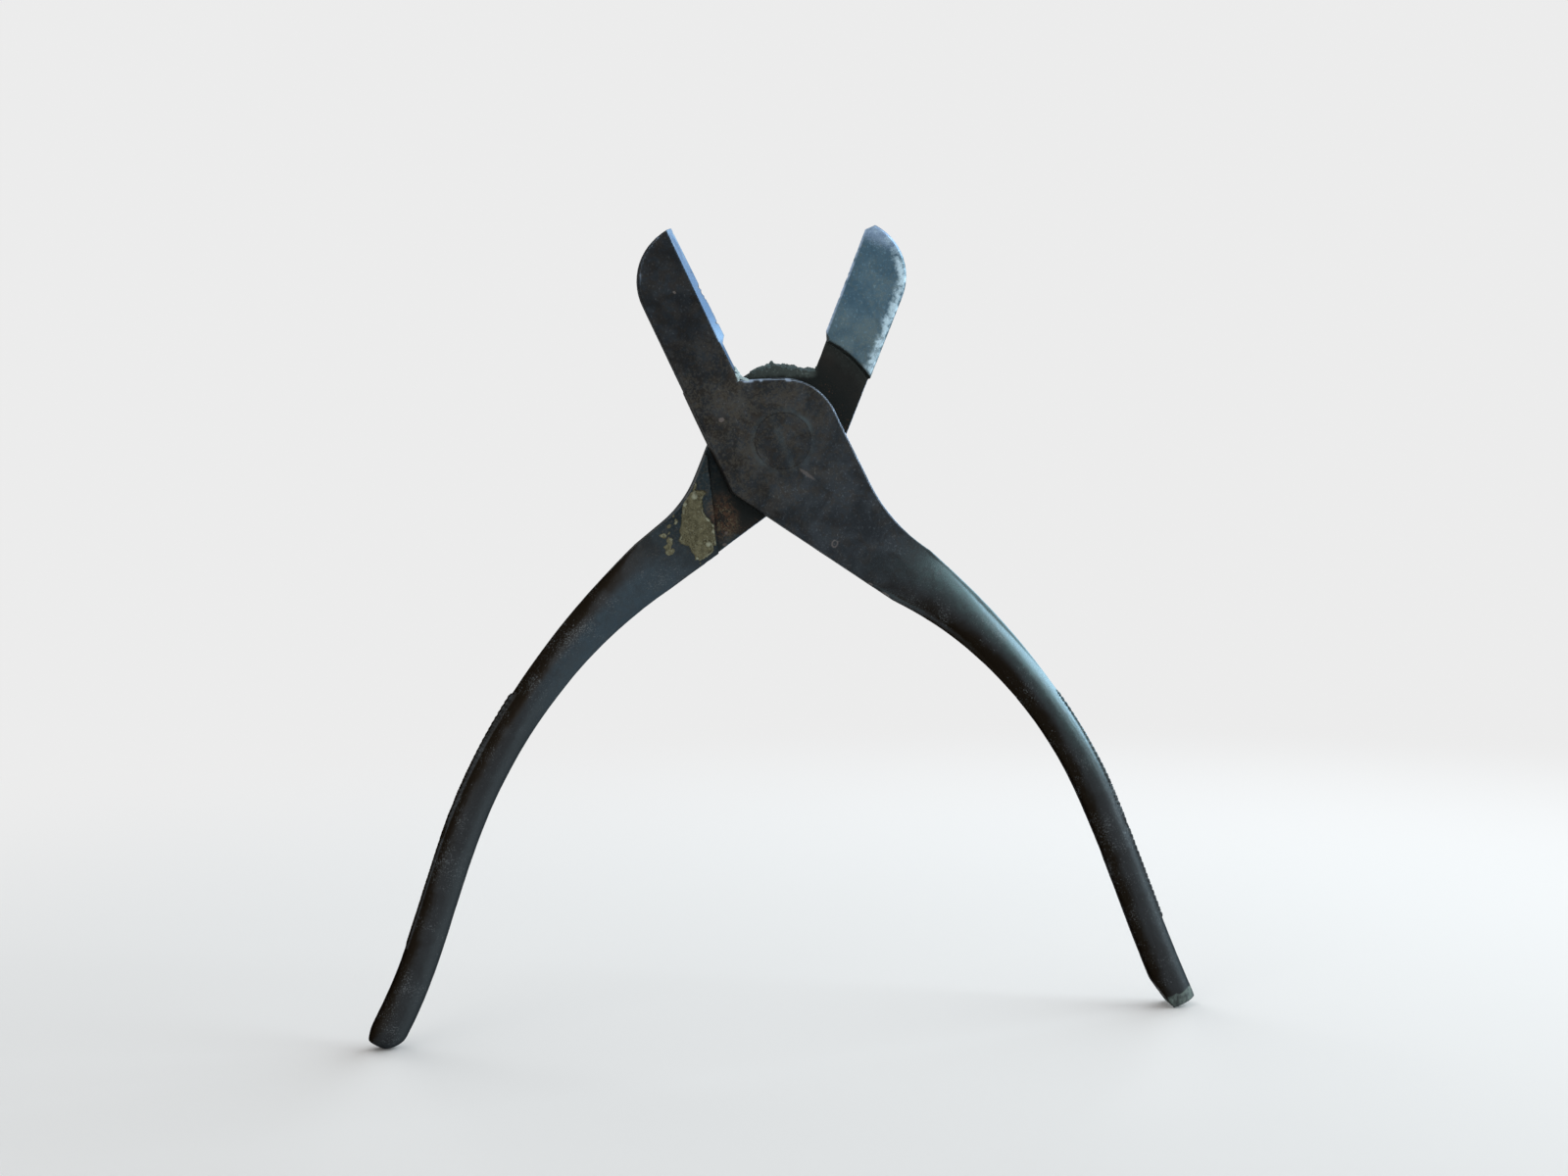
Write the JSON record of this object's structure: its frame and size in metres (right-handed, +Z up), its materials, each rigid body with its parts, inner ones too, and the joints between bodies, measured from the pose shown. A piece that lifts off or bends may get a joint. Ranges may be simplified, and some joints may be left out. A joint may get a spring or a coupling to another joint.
{
  "type": "lap joint hand cutters",
  "caption": "Forged hand cutters: two shear blades on a stepped lap joint with one flush rivet, bowed bar handles with serrated grip pads, standing open.",
  "frame": {"origin": "where the pivot axis leaves the flat back face of the joint", "axes": "+Z up through the open jaws, -Y out of the front face, +Y along the pivot axis out of the back face, X along the line through both handle ends"},
  "size_m": [0.1821, 0.013, 0.1736],
  "materials": {
    "front_steel": "dark worn forging, ground bright along the bevel and on the cheek rim",
    "rear_steel": "dusty grey forging, blade ground pale, old paint crust beside the shoulder",
    "rivet_steel": "peened and dressed flush, darkened with the cheek"
  },
  "bodies": {
    "rear": {"rear_half": "rear_steel", "pivot_rivet": "rivet_steel"},
    "front": {"front_half": "front_steel"}
  },
  "joints": [
    {"name": "pivot", "type": "hinge", "parent": "rear", "child": "front", "pos_m": [0, 0, 0], "axis": [0, 1, 0], "range_deg": [-5, 51]}
  ]
}
